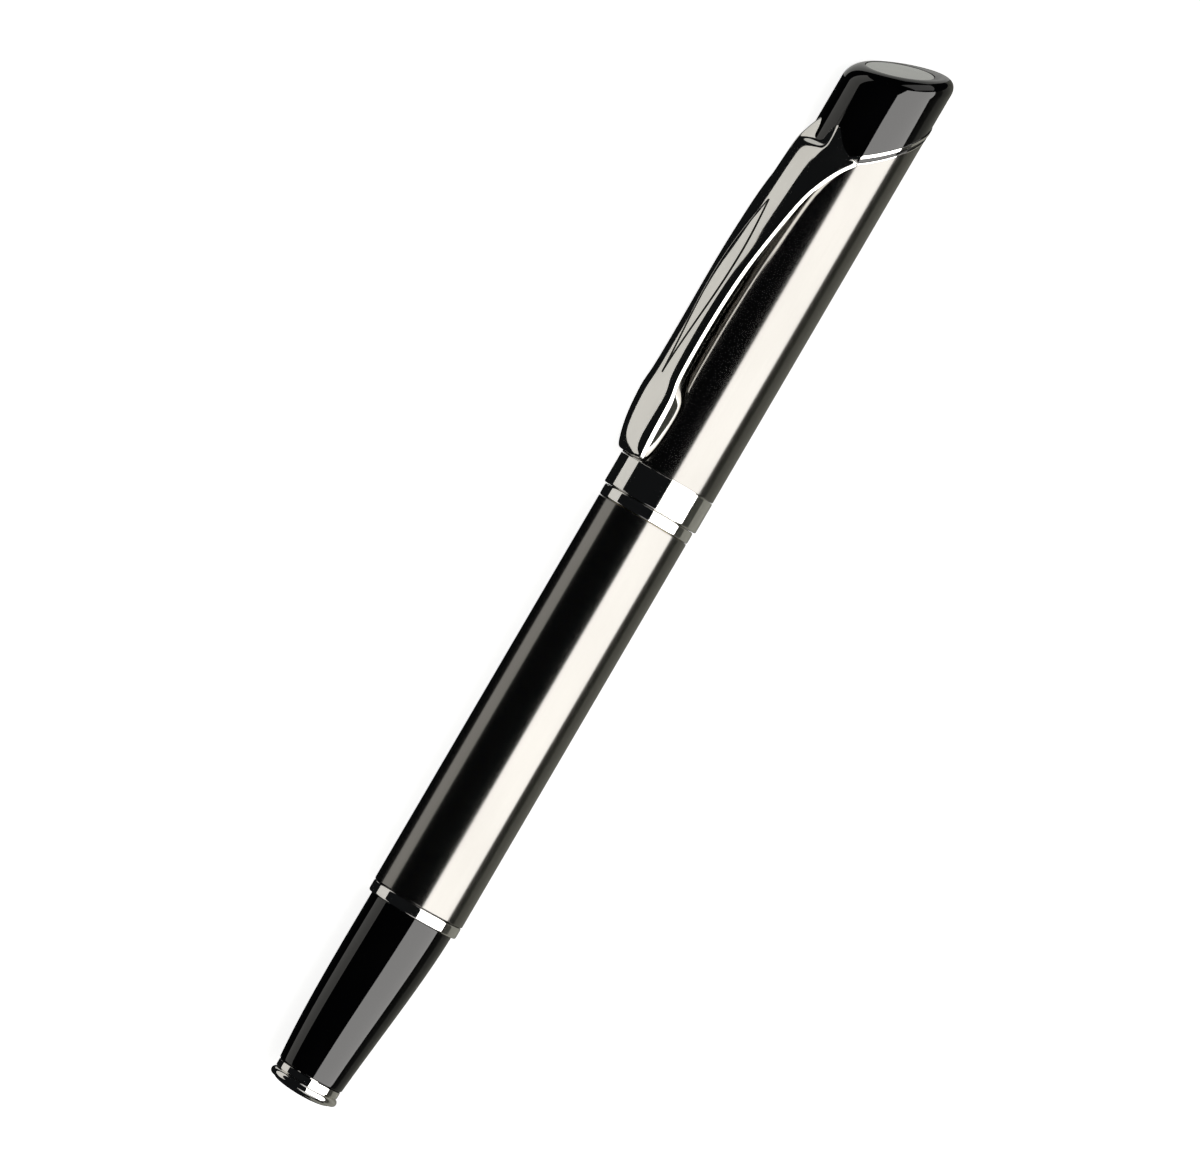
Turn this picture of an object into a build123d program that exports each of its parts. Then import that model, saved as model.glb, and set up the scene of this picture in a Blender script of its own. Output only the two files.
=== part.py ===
from build123d import *

import os
from math import acos, atan2, cos, degrees, radians, sin

# A capped rollerball pen, lying on a table.
# Each piece is drawn upright: Z runs up the pen's axis from the end of the tail, and X points to the clip.
# At the end the whole pen is laid down, with the clip's edge on the table.
# Millimetres throughout.

# The barrel, from the end of the tail to the joint with the cap
TAIL_START = 2.5
TAIL_END = 24.3
TAIL_SPIGOT_END = 30.3
BARREL_START = 25.8
BARREL_END = 76.8
CAP_START = 78.3

BARREL_RADIUS = 5.77
BARREL_BORE = 5.1
TAIL_RING_RADIUS = 5.73
TAIL_TOP_RADIUS = 5.25
TAIL_TIP_RADIUS = 4.07
TAIL_SIDESTEP = 0.95
FINIAL_RIM_RADIUS = 4.28
FINIAL_RIM_HEIGHT = 1.12
FINIAL_RIM_ROUNDING = 0.5
FINIAL_DOME_RADIUS = 3.9
FINIAL_DOME_HEIGHT = 0.62
FINIAL_COLLAR_RADIUS = 4.0
FINIAL_SPIGOT_RADIUS = 1.8
FINIAL_SPIGOT_END = 5.5
TAIL_BORE = 3.3
TAIL_BORE_FLOOR = 16.0
SPRING_BORE = 2.6
SPRING_FLOOR = 9.5
BUSH_START = 66.0

# The cap, from its mouth to the top of the crown
CAP_BAND_RADIUS = 6.03
CAP_RADIUS = 6.0
CAP_BORE = 5.5
CAP_BAND_END = 82.3
LINER_BORE = 4.9
LINER_END = 119.0
CROWN_FOOT = 122.4
TRIM_HEIGHT = 127.2
TRIM_THICKNESS = 0.9
TRIM_SLANT = 40.6
CROWN_HEIGHT = 136.35
CROWN_SLANT = 24.0
CROWN_ROUNDING = 1.8
DISC_RADIUS = 4.05
DISC_THICKNESS = 0.8
DISC_SHIFT = 0.8
PEN_LENGTH = 138.1

# The clip, over the side of the cap
CLIP_START = 82.4
CLIP_SPLIT = 118.0
CLIP_END = 127.2
CLIP_HALF_WIDTH = 2.5
SPATULA_HALF_WIDTH = 3.1
SPATULA_HEIGHT = 7.85
CLIP_CREST = 8.3
CLIP_GAP = 0.1

# The writing section, under the cap
THREAD_RADIUS = 4.3
THREAD_CLEARANCE = 0.05
FERRULE_START = 67.5
FERRULE_END = 84.0
FERRULE_BORE = 3.15
COLLAR_END = 83.5
COLLAR_RADIUS = 4.95
GRIP_RADIUS = 4.75
GRIP_END = 111.0
GRIP_NOSE_RADIUS = 3.7
GRIP_BORE = 3.1
NOSE_BORE = 2.05
NOSE_END = 114.0
SNAP_RING_LOW = 80.0
SNAP_RING_HIGH = 80.8

# The refill
REFILL_START = 18.3
REFILL_RADIUS = 3.0
REFILL_BORE = 2.75
REFILL_TUBE_START = 20.0
REFILL_TUBE_END = 96.0
REFILL_SHOULDER = 104.0
REFILL_NOSE_END = 112.9
POINT_RADIUS = 1.15
BALL_RADIUS = 0.35
BALL_HEIGHT = 116.45
FEED_RADIUS = 0.7


def turned(*outline):
    """A solid turned about the pen's axis, from the (radius, height) corners of its half section."""
    return revolve(make_face(Polyline(*[(r, 0, z) for r, z in outline], close=True)), Axis.Z)


def sleeve(outer, inner, low, high):
    return turned((inner, low), (outer, low), (outer, high), (inner, high))


def rounded(solid, radius, *places):
    """The solid with its round edges of these (radius, height) places rounded."""
    edges = [
        edge
        for edge in solid.edges().filter_by(GeomType.CIRCLE)
        for r, z in places
        if abs(edge.radius - r) < 0.01 and abs(edge.center().Z - z) < 0.01
    ]
    return fillet(edges, radius)


def slanted(height, angle):
    """A plane across the axis at a height, which falls towards the clip."""
    return Plane(origin=(0, 0, height), x_dir=(cos(radians(angle)), 0, -sin(radians(angle))),
                 z_dir=(sin(radians(angle)), 0, cos(radians(angle))))


def below(solid, plane):
    return split(solid, bisect_by=plane, keep=Keep.BOTTOM)


def above(solid, plane):
    return split(solid, bisect_by=plane, keep=Keep.TOP)


# ---- barrel ----


def tail_radius(height):
    """The tail's radius: full at its top, then thinner and thinner towards the finial."""
    return TAIL_TOP_RADIUS - (TAIL_TOP_RADIUS - TAIL_TIP_RADIUS) * tail_depth(height) ** 1.6


def tail_centre(height):
    """How far the tail's middle has moved towards the clip's side."""
    return TAIL_SIDESTEP * sin(radians(90 * tail_depth(height) ** 1.4))


def tail_depth(height):
    return (TAIL_END - height) / (TAIL_END - TAIL_START)


def make_tail_finial():
    button = turned((0, FINIAL_DOME_HEIGHT), (FINIAL_DOME_RADIUS, FINIAL_DOME_HEIGHT),
                    (FINIAL_COLLAR_RADIUS, FINIAL_RIM_HEIGHT + 0.5), (FINIAL_COLLAR_RADIUS, TAIL_START),
                    (FINIAL_SPIGOT_RADIUS, TAIL_START), (FINIAL_SPIGOT_RADIUS, FINIAL_SPIGOT_END),
                    (0, FINIAL_SPIGOT_END))
    flare = Torus(FINIAL_RIM_RADIUS - FINIAL_RIM_ROUNDING, FINIAL_RIM_ROUNDING)
    flare = Pos(0, 0, FINIAL_RIM_HEIGHT) * flare
    ball_radius = (FINIAL_DOME_RADIUS**2 + FINIAL_DOME_HEIGHT**2) / (2 * FINIAL_DOME_HEIGHT)
    dome = below(Pos(0, 0, ball_radius) * Sphere(ball_radius), Plane(origin=(0, 0, FINIAL_DOME_HEIGHT)))
    return Pos(TAIL_SIDESTEP, 0, 0) * (button + flare + dome)


def make_tail_cone():
    steps = 6
    stations = [TAIL_START + (TAIL_END - TAIL_START) * n / steps for n in range(steps + 1)]
    outside = loft([Pos(tail_centre(z), 0, z) * Circle(tail_radius(z)) for z in stations])
    cone = outside + sleeve(BARREL_BORE, 0, TAIL_END, TAIL_SPIGOT_END)
    cone -= sleeve(TAIL_BORE, 0, TAIL_BORE_FLOOR, TAIL_SPIGOT_END)
    cone -= sleeve(SPRING_BORE, 0, SPRING_FLOOR, TAIL_BORE_FLOOR)
    return cone - Pos(TAIL_SIDESTEP, 0, 0) * sleeve(FINIAL_SPIGOT_RADIUS, 0, TAIL_START, FINIAL_SPIGOT_END)


def make_tail_ring():
    ring = sleeve(TAIL_RING_RADIUS, BARREL_BORE, TAIL_END, BARREL_START)
    return rounded(ring, 0.25, (TAIL_RING_RADIUS, TAIL_END), (TAIL_RING_RADIUS, BARREL_START))


def make_barrel_tube():
    tube = sleeve(BARREL_RADIUS, BARREL_BORE, BARREL_START, BARREL_END)
    return rounded(tube, 0.1, (BARREL_RADIUS, BARREL_START), (BARREL_RADIUS, BARREL_END))


def make_thread_bush():
    return sleeve(BARREL_BORE, THREAD_RADIUS + THREAD_CLEARANCE, BUSH_START, BARREL_END)


def make_spring_seat():
    return turned((0, SPRING_FLOOR), (SPRING_BORE, SPRING_FLOOR), (SPRING_BORE, SPRING_FLOOR + 1.0),
                  (1.2, SPRING_FLOOR + 1.0), (1.2, SPRING_FLOOR + 2.5), (0, SPRING_FLOOR + 2.5))


def make_refill_spring():
    wire = 0.2
    coil = 1.9
    low = SPRING_FLOOR + 1.0 + wire
    high = REFILL_START - wire
    path = Pos(0, 0, low) * Helix(pitch=(high - low) / 7, height=high - low, radius=coil)
    section = Plane(origin=path @ 0, z_dir=path % 0) * Circle(wire)
    return sweep(section, path=path)


# ---- refill ----


def make_refill_end_plug():
    return turned((0, REFILL_START), (REFILL_RADIUS, REFILL_START), (REFILL_RADIUS, REFILL_TUBE_START),
                  (REFILL_BORE, REFILL_TUBE_START), (REFILL_BORE, REFILL_TUBE_START + 2.5),
                  (0, REFILL_TUBE_START + 2.5))


def make_refill_tube():
    return sleeve(REFILL_RADIUS, REFILL_BORE, REFILL_TUBE_START, REFILL_TUBE_END)


def make_ink_fibre():
    fibre = sleeve(REFILL_BORE - 0.02, 0, REFILL_TUBE_START + 3.0, REFILL_TUBE_END - 6.0)
    return fibre - sleeve(FEED_RADIUS, 0, REFILL_TUBE_END - 16.0, REFILL_TUBE_END - 6.0)


def make_feed_rod():
    return sleeve(FEED_RADIUS, 0, REFILL_TUBE_END - 16.0, REFILL_NOSE_END + 0.6)


def make_refill_nose():
    outside = turned((0, REFILL_TUBE_END - 5.0), (REFILL_BORE, REFILL_TUBE_END - 5.0),
                     (REFILL_BORE, REFILL_TUBE_END), (REFILL_RADIUS, REFILL_TUBE_END),
                     (REFILL_RADIUS, REFILL_SHOULDER), (1.9, REFILL_SHOULDER + 1.6),
                     (1.6, REFILL_NOSE_END), (0, REFILL_NOSE_END))
    return outside - sleeve(FEED_RADIUS, 0, REFILL_TUBE_END - 5.0, REFILL_NOSE_END)


def make_point_tip():
    cone = turned((0, REFILL_NOSE_END), (POINT_RADIUS, REFILL_NOSE_END), (POINT_RADIUS, 114.6),
                  (0.42, BALL_HEIGHT + 0.1), (0, BALL_HEIGHT + 0.1))
    cone -= sleeve(FEED_RADIUS, 0, REFILL_NOSE_END, REFILL_NOSE_END + 0.6)
    cone -= sleeve(0.2, 0, REFILL_NOSE_END, BALL_HEIGHT)
    return cone - Pos(0, 0, BALL_HEIGHT) * Sphere(BALL_RADIUS + 0.02)


def make_point_ball():
    return Pos(0, 0, BALL_HEIGHT) * Sphere(BALL_RADIUS)


# ---- writing section ----


def make_section_ferrule():
    front = THREAD_RADIUS - 0.3
    return turned((FERRULE_BORE, FERRULE_START), (THREAD_RADIUS - 0.3, FERRULE_START),
                  (THREAD_RADIUS, FERRULE_START + 0.3), (THREAD_RADIUS, CAP_START),
                  (front, CAP_START), (front, FERRULE_END), (FERRULE_BORE, FERRULE_END))


def make_section_ring():
    ring = sleeve(BARREL_RADIUS, THREAD_RADIUS, BARREL_END + 0.05, CAP_START)
    return rounded(ring, 0.2, (BARREL_RADIUS, BARREL_END + 0.05), (BARREL_RADIUS, CAP_START))


def make_section_collar():
    foot = THREAD_RADIUS - 0.3
    groove = 4.55
    return turned((foot, CAP_START), (COLLAR_RADIUS, CAP_START), (COLLAR_RADIUS, SNAP_RING_LOW),
                  (groove, SNAP_RING_LOW), (groove, SNAP_RING_HIGH), (COLLAR_RADIUS, SNAP_RING_HIGH),
                  (COLLAR_RADIUS, COLLAR_END - 0.2), (GRIP_RADIUS, COLLAR_END), (foot, COLLAR_END))


def make_section_grip():
    outline = [
        Line((GRIP_BORE, 0, COLLAR_END), (GRIP_RADIUS, 0, COLLAR_END)),
        Spline((GRIP_RADIUS, 0, COLLAR_END), (4.45, 0, 92.0), (3.9, 0, 103.0),
               (GRIP_NOSE_RADIUS, 0, GRIP_END)),
        Polyline((GRIP_NOSE_RADIUS, 0, GRIP_END), (NOSE_BORE, 0, GRIP_END),
                 (NOSE_BORE, 0, REFILL_SHOULDER + 1.7), (GRIP_BORE, 0, REFILL_SHOULDER + 0.05),
                 (GRIP_BORE, 0, COLLAR_END)),
    ]
    grip = revolve(make_face(outline), Axis.Z)
    return grip - sleeve(THREAD_RADIUS - 0.3, 0, COLLAR_END - 1.0, FERRULE_END)


def make_section_nose():
    return turned((NOSE_BORE, GRIP_END), (GRIP_NOSE_RADIUS, GRIP_END),
                  (GRIP_NOSE_RADIUS - 0.1, GRIP_END + 0.6), (NOSE_BORE + 0.3, NOSE_END),
                  (NOSE_BORE, NOSE_END))


def make_snap_ring():
    ring = sleeve(COLLAR_RADIUS + 0.03, 4.6, SNAP_RING_LOW + 0.05, SNAP_RING_HIGH - 0.05)
    return ring - Pos(-COLLAR_RADIUS, 0, (SNAP_RING_LOW + SNAP_RING_HIGH) / 2) * Box(2.0, 1.2, 2.0)


# ---- cap ----


def make_cap_band():
    mouth = 5.08
    low = CAP_START + 0.05
    band = turned((mouth, low), (CAP_BAND_RADIUS, low), (CAP_BAND_RADIUS, CAP_BAND_END),
                  (CAP_BORE, CAP_BAND_END), (CAP_BORE, CAP_BAND_END + 4.0), (mouth, CAP_BAND_END + 4.0))
    return rounded(band, 0.15, (CAP_BAND_RADIUS, low))


def make_cap_tube():
    tube = sleeve(CAP_RADIUS, CAP_BORE, CAP_BAND_END, TRIM_HEIGHT + CAP_RADIUS)
    return below(tube, slanted(TRIM_HEIGHT, TRIM_SLANT))


def make_cap_liner():
    low = CAP_BAND_END + 4.0
    outer = CAP_BORE - 0.02
    return turned((LINER_BORE, low), (outer, low), (outer, LINER_END), (0, LINER_END),
                  (0, LINER_END - 1.0), (2.6, LINER_END - 1.0), (LINER_BORE, LINER_END - 6.0))


def make_cap_bush():
    return sleeve(CAP_BORE, 1.5, LINER_END + 1.6, CROWN_FOOT)


def make_crown_screw():
    head = LINER_END + 0.1
    screw = turned((0, head), (2.5, head), (2.5, LINER_END + 1.6), (1.5, LINER_END + 1.6),
                   (1.5, CROWN_FOOT + 6.0), (0, CROWN_FOOT + 6.0))
    slot = Box(6.0, 0.6, 1.2)
    return screw - Pos(0, 0, head) * slot


def make_trim_ring():
    ring = sleeve(CAP_RADIUS + 0.02, CAP_BORE, TRIM_HEIGHT - CAP_RADIUS, TRIM_HEIGHT + CAP_RADIUS)
    ring = below(ring, slanted(TRIM_HEIGHT + TRIM_THICKNESS, TRIM_SLANT))
    return above(ring, slanted(TRIM_HEIGHT, TRIM_SLANT))


def make_cap_crown():
    top = slanted(CROWN_HEIGHT, CROWN_SLANT)
    cap = above(sleeve(CAP_RADIUS, 0, CROWN_FOOT - 2.0, PEN_LENGTH + 4.0),
                slanted(TRIM_HEIGHT + TRIM_THICKNESS, TRIM_SLANT))
    cap = below(cap, top)
    rim = [edge for edge in cap.edges().filter_by(GeomType.ELLIPSE) if edge.center().Z > CROWN_HEIGHT - 1]
    cap = fillet(rim, CROWN_ROUNDING)
    plug = below(sleeve(CAP_BORE, 0, CROWN_FOOT, TRIM_HEIGHT + CAP_RADIUS),
                 slanted(TRIM_HEIGHT + TRIM_THICKNESS, TRIM_SLANT))
    recess = top * Pos(DISC_SHIFT, 0, 0) * Cylinder(DISC_RADIUS, 2 * DISC_THICKNESS)
    return cap + plug - recess - sleeve(1.5, 0, CROWN_FOOT, CROWN_FOOT + 6.0) - clip_tongue()


def make_crown_disc():
    top = slanted(CROWN_HEIGHT, CROWN_SLANT)
    return top * Pos(DISC_SHIFT, 0, -DISC_THICKNESS / 2) * Cylinder(DISC_RADIUS, DISC_THICKNESS)


# ---- clip ----


def clip_blank(crowning):
    """The whole clip: its side outline and front outline pushed through each other, with a round back."""
    back = Spline((6.5, 0, CLIP_START), (7.4, 0, 84.5), (SPATULA_HEIGHT, 0, 88.5),
                  (CLIP_CREST - 0.05, 0, 96.0), (CLIP_CREST - 0.05, 0, 106.0), (7.75, 0, CLIP_SPLIT),
                  (7.35, 0, 123.0), (6.7, 0, 126.0), (5.9, 0, CLIP_END))
    belly = Polyline((5.9, 0, CLIP_END), (4.0, 0, CLIP_END), (4.0, 0, CLIP_SPLIT - 1.0), (6.5, 0, 112.0),
                     (6.5, 0, 87.0), (6.1, 0, 84.5), (6.1, 0, 83.4), (6.5, 0, CLIP_START))
    side = extrude(make_face([back, belly]), 8.0, dir=(0, 1, 0), both=True)
    shoulder_half_width = 3.6
    tip_half_width = 2.0
    edge = Spline((0, tip_half_width, CLIP_START), (0, SPATULA_HALF_WIDTH, 88.0), (0, CLIP_HALF_WIDTH, 93.0),
                  (0, CLIP_HALF_WIDTH, 106.0), (0, 3.0, CLIP_SPLIT), (0, 4.4, 122.0),
                  (0, shoulder_half_width, CLIP_END))
    front_face = make_face([
        edge,
        Line((0, shoulder_half_width, CLIP_END), (0, -shoulder_half_width, CLIP_END)),
        mirror(edge, about=Plane.XZ),
        Line((0, -tip_half_width, CLIP_START), (0, tip_half_width, CLIP_START)),
    ])
    front = extrude(front_face, 10.0, dir=(1, 0, 0))
    round_back = Pos(CLIP_CREST - crowning, 0, 0) * sleeve(crowning, 0, CLIP_START - 1, CLIP_END + 1)
    return side & front & round_back


def make_clip_arm():
    arm = below(clip_blank(crowning=7.0), Plane(origin=(0, 0, CLIP_SPLIT - CLIP_GAP)))
    return arm - sleeve(CAP_RADIUS + 0.1, 0, CLIP_START - 1, CLIP_END + 1)


def clip_tongue():
    """The tab that hooks the clip's shoulder into the crown."""
    return Pos(5.3, 0, 124.6) * Box(2.4, 3.0, 1.0)


def make_clip_base():
    base = above(clip_blank(crowning=4.5), Plane(origin=(0, 0, CLIP_SPLIT)))
    base -= sleeve(CAP_RADIUS + 0.02, 0, CLIP_START - 1, CLIP_END + 1)
    return base + clip_tongue()


# ---- the pen, laid down ----

# The pen rests on the cap's band and the edge of the clip's spatula.
# The clip's middle is therefore this far round from straight down.
SPATULA_CORNER = (SPATULA_HEIGHT**2 + SPATULA_HALF_WIDTH**2) ** 0.5
CLIP_TURN = degrees(atan2(SPATULA_HALF_WIDTH, SPATULA_HEIGHT) + acos(CAP_BAND_RADIUS / SPATULA_CORNER))

PIECES = {
    "tail_finial": make_tail_finial(),
    "tail_cone": make_tail_cone(),
    "tail_ring": make_tail_ring(),
    "barrel_tube": make_barrel_tube(),
    "thread_bush": make_thread_bush(),
    "spring_seat": make_spring_seat(),
    "refill_spring": make_refill_spring(),
    "refill_end_plug": make_refill_end_plug(),
    "refill_tube": make_refill_tube(),
    "ink_fibre": make_ink_fibre(),
    "feed_rod": make_feed_rod(),
    "refill_nose": make_refill_nose(),
    "point_tip": make_point_tip(),
    "point_ball": make_point_ball(),
    "section_ferrule": make_section_ferrule(),
    "section_ring": make_section_ring(),
    "section_collar": make_section_collar(),
    "section_grip": make_section_grip(),
    "section_nose": make_section_nose(),
    "snap_ring": make_snap_ring(),
    "cap_band": make_cap_band(),
    "cap_tube": make_cap_tube(),
    "cap_liner": make_cap_liner(),
    "cap_bush": make_cap_bush(),
    "crown_screw": make_crown_screw(),
    "trim_ring": make_trim_ring(),
    "cap_crown": make_cap_crown(),
    "crown_disc": make_crown_disc(),
    "clip_base": make_clip_base(),
    "clip_arm": make_clip_arm(),
}

clip_side = (0, -sin(radians(CLIP_TURN)), -cos(radians(CLIP_TURN)))
lying = Plane(origin=(0, 0, 0), x_dir=clip_side, z_dir=(-1, 0, 0)).location
laid = {name: lying * piece for name, piece in PIECES.items()}
box = Compound([solid for piece in laid.values() for solid in piece.solids()]).bounding_box()
centred = Pos(-box.center().X, -box.center().Y, -box.min.Z)

os.makedirs("parts", exist_ok=True)
for name, piece in laid.items():
    export_step(centred * piece, f"parts/{name}.step")

print("The clip's middle is turned", CLIP_TURN, "degrees from straight down.")
print("The tail's end is on the axis at", (centred * lying).position)
print("The whole pen measures", box.size)
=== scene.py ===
from math import cos, pi, radians, sin

import bpy
from mathutils import Matrix, Vector


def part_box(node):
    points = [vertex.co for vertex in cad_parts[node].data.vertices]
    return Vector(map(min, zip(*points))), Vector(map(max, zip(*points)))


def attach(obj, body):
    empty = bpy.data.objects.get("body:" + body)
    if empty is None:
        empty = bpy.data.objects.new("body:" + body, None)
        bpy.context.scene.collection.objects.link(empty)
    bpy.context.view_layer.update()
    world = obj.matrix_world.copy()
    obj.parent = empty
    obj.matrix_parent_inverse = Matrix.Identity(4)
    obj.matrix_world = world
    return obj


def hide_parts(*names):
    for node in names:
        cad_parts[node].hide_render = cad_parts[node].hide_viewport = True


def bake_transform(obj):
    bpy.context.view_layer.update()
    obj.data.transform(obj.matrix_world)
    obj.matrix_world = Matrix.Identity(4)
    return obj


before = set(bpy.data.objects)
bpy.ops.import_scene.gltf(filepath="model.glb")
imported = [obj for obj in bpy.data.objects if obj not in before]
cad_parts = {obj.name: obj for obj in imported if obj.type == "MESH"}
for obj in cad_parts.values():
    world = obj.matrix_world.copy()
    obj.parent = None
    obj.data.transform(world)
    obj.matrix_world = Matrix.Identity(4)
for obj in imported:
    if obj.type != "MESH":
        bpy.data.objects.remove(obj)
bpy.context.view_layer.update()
bpy.ops.object.select_all(action="DESELECT")

# ---- the pen's own axis ----
# Every piece is drawn standing on the tail's end in millimetres, with +X towards the clip.
# It is then laid on the table with the cap's crown to the left, resting on the cap's band and the clip's edge.

CLIP_TURN = radians(65.95)
tube_low, tube_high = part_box("barrel_tube")
pen_axis = (tube_low + tube_high) / 2
finial_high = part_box("tail_finial")[1]
laid_down = Matrix((
    (0, 0, -0.001, finial_high.x),
    (-0.001 * sin(CLIP_TURN), -0.001 * cos(CLIP_TURN), 0, pen_axis.y),
    (-0.001 * cos(CLIP_TURN), 0.001 * sin(CLIP_TURN), 0, pen_axis.z),
    (0, 0, 0, 1),
))


def on_table(x, y, z):
    return laid_down @ Vector((x, y, z))


def lay_down(piece, body, slot, *nodes):
    piece.matrix_world = laid_down
    bpy.ops.object.select_all(action="DESELECT")
    piece.select_set(True)
    bpy.context.view_layer.objects.active = piece
    bpy.ops.object.transform_apply()
    bpy.ops.object.select_all(action="DESELECT")
    if body:
        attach(piece, body)
    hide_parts(*nodes)


# ---- camera ----
# A long lens from a little under a metre, 28 degrees above the table on the clip's side.
# It is rolled so that the pen stands on its tail, leaning to the right.

CAMERA_DISTANCE = 900.0
CAMERA_RISE = radians(28.0)
PEN_LEAN = radians(30.32)
LOOK_HEIGHT = 68.1
LOOK_SIDE = -0.61
FRAME_WIDTH = 137.6

to_camera = Vector((0, -cos(CAMERA_RISE), sin(CAMERA_RISE)))
across_pen = Vector((0, sin(CAMERA_RISE), cos(CAMERA_RISE)))
up_pen = Vector((-1, 0, 0))
look_at = on_table(0, 0, LOOK_HEIGHT) + across_pen * LOOK_SIDE * 0.001
camera_right = up_pen * sin(PEN_LEAN) + across_pen * cos(PEN_LEAN)
camera_up = up_pen * cos(PEN_LEAN) - across_pen * sin(PEN_LEAN)
camera_data = bpy.data.cameras.new("camera")
camera_data.lens = 36 * CAMERA_DISTANCE / FRAME_WIDTH
camera_data.clip_end = 20
camera = bpy.data.objects.new("camera", camera_data)
camera.matrix_world = Matrix((
    (camera_right.x, camera_up.x, to_camera.x, 0),
    (camera_right.y, camera_up.y, to_camera.y, 0),
    (camera_right.z, camera_up.z, to_camera.z, 0),
    (0, 0, 0, 1),
))
camera.location = look_at + to_camera * CAMERA_DISTANCE * 0.001
bpy.context.scene.collection.objects.link(camera)
bpy.context.scene.camera = camera

# ---- table and backdrop ----
# A white table that runs back into a white sweep.
# The metal doesn't mirror it: only the lamps and cards show in the pen.


def plain_glow(name, colour, strength):
    glow = bpy.data.materials.new(name)
    glow.use_nodes = True
    shader = glow.node_tree.nodes["Principled BSDF"]
    shader.inputs["Base Color"].default_value = (*colour, 1)
    shader.inputs["Roughness"].default_value = 1
    shader.inputs["Emission Color"].default_value = (*colour, 1)
    shader.inputs["Emission Strength"].default_value = strength
    glow.cycles.emission_sampling = "NONE"
    return glow


bpy.ops.mesh.primitive_circle_add(vertices=96, radius=2.2, fill_type="NGON")
backdrop = bpy.context.object
backdrop.name = "backdrop"
bpy.ops.object.mode_set(mode="EDIT")
for rise, widen in ((0.06, 1.1), (0.24, 1.08), (0.6, 1.03), (3.0, 1.0)):
    bpy.ops.mesh.select_mode(type="EDGE")
    bpy.ops.mesh.select_all(action="SELECT")
    bpy.ops.mesh.region_to_loop()
    bpy.ops.mesh.extrude_edges_move(TRANSFORM_OT_translate={"value": (0, 0, rise)})
    bpy.ops.transform.resize(value=(widen, widen, 1))
bpy.ops.mesh.select_all(action="SELECT")
bpy.ops.mesh.normals_make_consistent(inside=True)
bpy.ops.object.mode_set(mode="OBJECT")
bpy.ops.object.shade_smooth()
backdrop.location.z = -0.00005
backdrop.data.materials.append(plain_glow("white_sweep", (0.96, 0.96, 0.955), 0.94))
backdrop.visible_glossy = False
backdrop.visible_diffuse = False

room = bpy.data.worlds.new("room")
room.use_nodes = True
room.node_tree.nodes["Background"].inputs["Color"].default_value = (0.006, 0.0065, 0.007, 1)
bpy.context.scene.world = room
bpy.context.scene.view_settings.view_transform = "Standard"


# ---- lamps and cards ----
# Long curved cards stand round the pen, each from one angle to another, seen from the tail end.
# The angle is counted from the camera: upwards it passes over the pen, downwards it passes below the table's glass.

CARD_REACH = 0.55


def card(name, start, end, low, high, colour, strength):
    bpy.ops.object.select_all(action="DESELECT")
    bpy.ops.mesh.primitive_plane_add(size=1, enter_editmode=True)
    curved = bpy.context.object
    curved.name = name
    bpy.ops.mesh.select_mode(type="VERT")
    bpy.ops.mesh.merge(type="CENTER")
    direction = to_camera * cos(radians(start)) + across_pen * sin(radians(start))
    bpy.ops.transform.translate(value=Vector((low, pen_axis.y, pen_axis.z)) + direction * CARD_REACH)
    bpy.ops.mesh.extrude_region_move(TRANSFORM_OT_translate={"value": (high - low, 0, 0)})
    bpy.ops.mesh.select_all(action="SELECT")
    bpy.ops.mesh.spin(steps=24, angle=radians(end - start), center=(0, pen_axis.y, pen_axis.z), axis=(1, 0, 0))
    bpy.ops.object.mode_set(mode="OBJECT")
    curved.data.materials.append(plain_glow(name, colour, strength))
    curved.visible_camera = False
    curved.visible_diffuse = False
    curved.visible_shadow = False


card("key_card", 13, 85, -0.6, 0.6, (1.0, 0.985, 0.965), 3.9)
card("side_card", -111, -76, -0.6, 0.6, (1.0, 0.98, 0.93), 0.66)
card("rim_card", 85, 109, -0.6, 0.6, (1.0, 0.99, 0.85), 0.02)
card("back_card", 109, 176, -0.6, 0.6, (1.0, 0.99, 0.86), 0.17)
card("low_card", 177, 222, -1.6, -0.12, (1.0, 1.0, 0.96), 0.5)

for name, place in (("crown_end_card", (-1.2, -0.1, 0.4)), ("tail_end_card", (1.2, -0.1, 0.4))):
    bpy.ops.mesh.primitive_plane_add(size=0.8, location=place, rotation=(0, pi / 2, 0))
    upright = bpy.context.object
    upright.name = name
    upright.data.materials.append(plain_glow(name, (1.0, 0.99, 0.97), 0.6))
    upright.visible_camera = False
    upright.visible_diffuse = False
    upright.visible_shadow = False


def ceiling_lamp(name, place, size, power):
    lamp_data = bpy.data.lights.new(name, "AREA")
    lamp_data.size = size
    lamp_data.energy = power
    lamp = bpy.data.objects.new(name, lamp_data)
    lamp.location = place
    lamp.rotation_euler = (-Vector(place)).to_track_quat("-Z", "Y").to_euler()
    lamp.visible_glossy = False
    lamp.visible_camera = False
    bpy.context.scene.collection.objects.link(lamp)


ceiling_lamp("overhead_lamp", (0.1, 0.1, 1.6), 2.0, 8)
ceiling_lamp("front_lamp", (-0.6, -1.2, 1.1), 1.5, 4)


# ---- tail finial ----
# A domed brass button with a rolled rim, chrome plated, pressed into the end of the tail.


class Amount:
    """A number that varies over a surface."""

    def __init__(self, finish, socket):
        self.finish = finish
        self.socket = socket

    def __add__(self, other):
        return self.finish.sum("ADD", self, other)

    def __sub__(self, other):
        return self.finish.sum("SUBTRACT", self, other)

    def __rsub__(self, other):
        return self.finish.sum("SUBTRACT", other, self)

    def __mul__(self, other):
        return self.finish.sum("MULTIPLY", self, other)

    __radd__ = __add__
    __rmul__ = __mul__


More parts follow.
